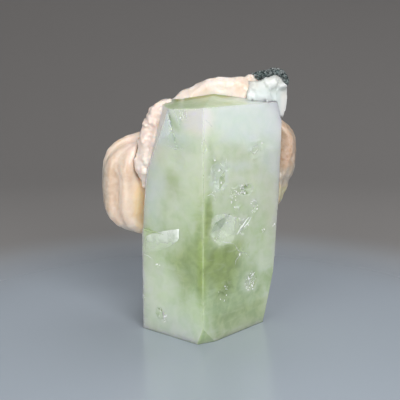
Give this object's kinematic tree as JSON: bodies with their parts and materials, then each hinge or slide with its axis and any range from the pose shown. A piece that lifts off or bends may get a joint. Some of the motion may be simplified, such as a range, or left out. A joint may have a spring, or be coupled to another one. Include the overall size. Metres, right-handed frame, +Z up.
{
  "type": "green apophyllite crystal with stilbite",
  "caption": "Mineral specimen: a green glassy blocky apophyllite prism standing on its flat foot, with pink stilbite sheaves, a pale crystal cap and dark grains on its back and top.",
  "frame": {"origin": "centre of the crystal's flat foot", "axes": "+Z up along the prism, +Y away from the prism's front edge, +X to the right as seen from the front"},
  "size_m": [0.0541, 0.0402, 0.0703],
  "materials": {
    "apophyllite": "glassy faces, milky green inside with clear olive zones",
    "stilbite_pink": "pearly, pinkish white",
    "stilbite_peach": "pearly, peach, finely striated",
    "stilbite_tan": "pearly, tan",
    "pale_crystal": "greyish white, slightly see-through, rough",
    "dark_grains": "greenish black, sparkling grains"
  },
  "bodies": {
    "root": {"apophyllite_crystal": "apophyllite", "stilbite_crest": "stilbite_pink", "stilbite_left_sheaf": "stilbite_peach", "stilbite_right_sheaf": "stilbite_tan", "pale_crystal_cap": "pale_crystal", "dark_matrix_crust": "dark_grains"}
  },
  "joints": []
}
